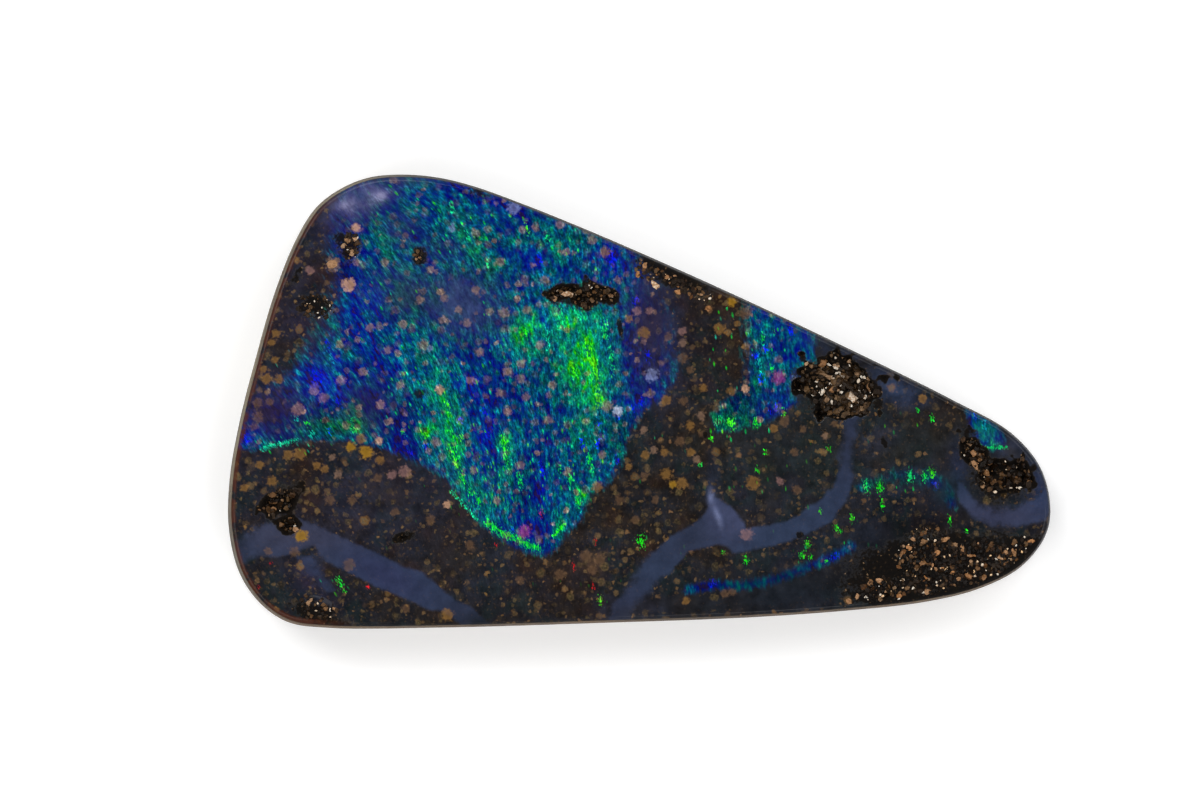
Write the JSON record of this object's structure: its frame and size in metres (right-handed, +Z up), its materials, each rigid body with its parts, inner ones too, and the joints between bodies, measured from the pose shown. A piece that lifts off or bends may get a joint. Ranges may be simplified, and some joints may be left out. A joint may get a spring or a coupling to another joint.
{
  "type": "boulder opal cabochon",
  "caption": "Polished freeform boulder opal: blue and green play of colour in dark ironstone, with grey-blue potch veins and rough pits, lying on its flat back.",
  "frame": {"origin": "under the middle of the outline's box, on the plane that the flat back rests on", "axes": "X along the length, +X towards the narrow nose; Y across the face; +Z up, out of the polished face"},
  "size_m": [0.0206, 0.0114, 0.0033],
  "materials": {
    "boulder_opal": "polished opal face with rough ironstone pits, fine-ground ironstone wall and back"
  },
  "bodies": {
    "root": {"opal_stone": "boulder_opal"}
  },
  "joints": []
}
